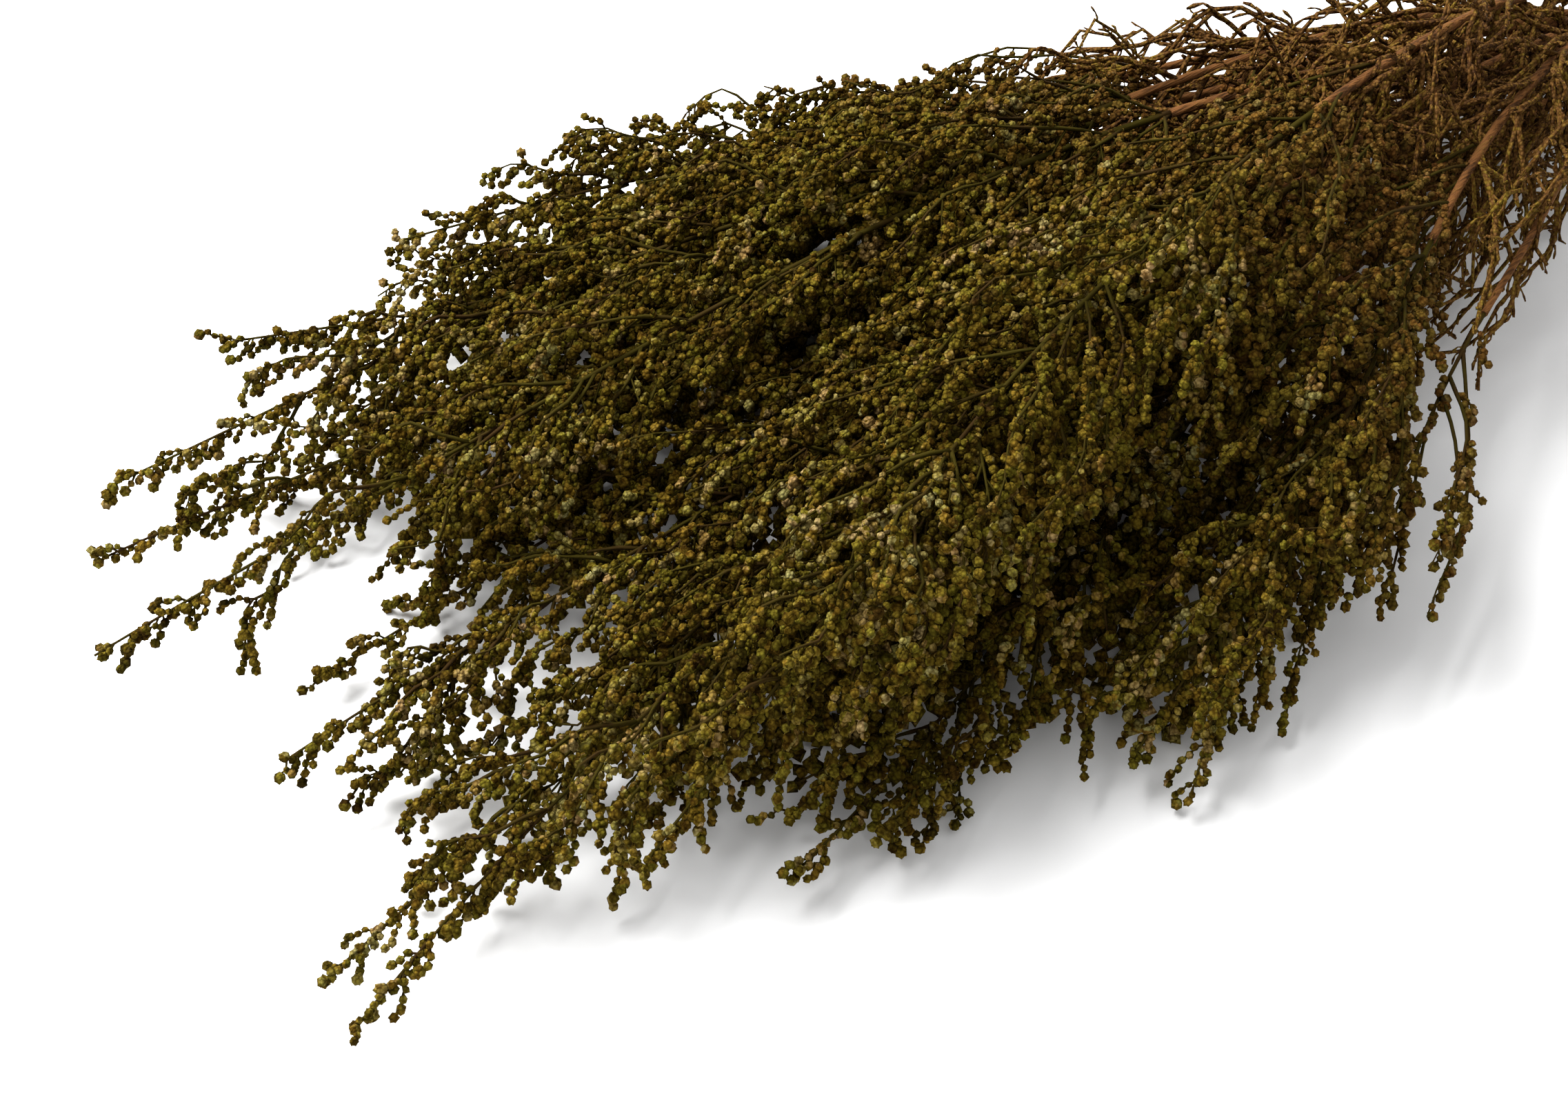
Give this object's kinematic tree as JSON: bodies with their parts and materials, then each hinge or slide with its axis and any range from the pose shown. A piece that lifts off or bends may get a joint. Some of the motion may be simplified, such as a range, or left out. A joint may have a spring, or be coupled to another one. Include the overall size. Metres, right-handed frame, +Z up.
{
  "type": "preserved stoebe bunch",
  "caption": "Lying bunch of preserved stoebe: brown woody stems gathered in a band, fanning out into dense olive sprays of small round knobs.",
  "frame": {"origin": "middle of the bounding box in plan, at the height of the table that the bunch lies on", "axes": "+X towards the cut stem ends, so the tips point to -X; +Z up; -Y is the side nearer the picture's camera"},
  "size_m": [0.7232, 0.3398, 0.1347],
  "materials": {
    "wood": "rough brown bark, matt",
    "foliage": "matt olive, preserved leaf clusters",
    "rubber": "plain tan rubber band"
  },
  "bodies": {
    "root": {"tie_band": "rubber", "woody_stem_01": "wood", "woody_stem_02": "wood", "woody_stem_03": "wood", "woody_stem_04": "wood", "woody_stem_05": "wood", "woody_stem_06": "wood", "woody_stem_07": "wood", "woody_stem_08": "wood", "woody_stem_09": "wood", "woody_stem_10": "wood", "woody_stem_11": "wood", "woody_stem_12": "wood", "woody_stem_13": "wood", "woody_stem_14": "wood", "woody_stem_15": "wood", "green_shoots_01": "foliage", "green_shoots_02": "foliage", "green_shoots_03": "foliage", "green_shoots_04": "foliage", "green_shoots_05": "foliage", "green_shoots_06": "foliage", "green_shoots_07": "foliage", "green_shoots_08": "foliage", "green_shoots_09": "foliage", "green_shoots_10": "foliage", "green_shoots_11": "foliage", "green_shoots_12": "foliage", "green_shoots_13": "foliage", "green_shoots_14": "foliage", "green_shoots_15": "foliage"}
  },
  "joints": []
}
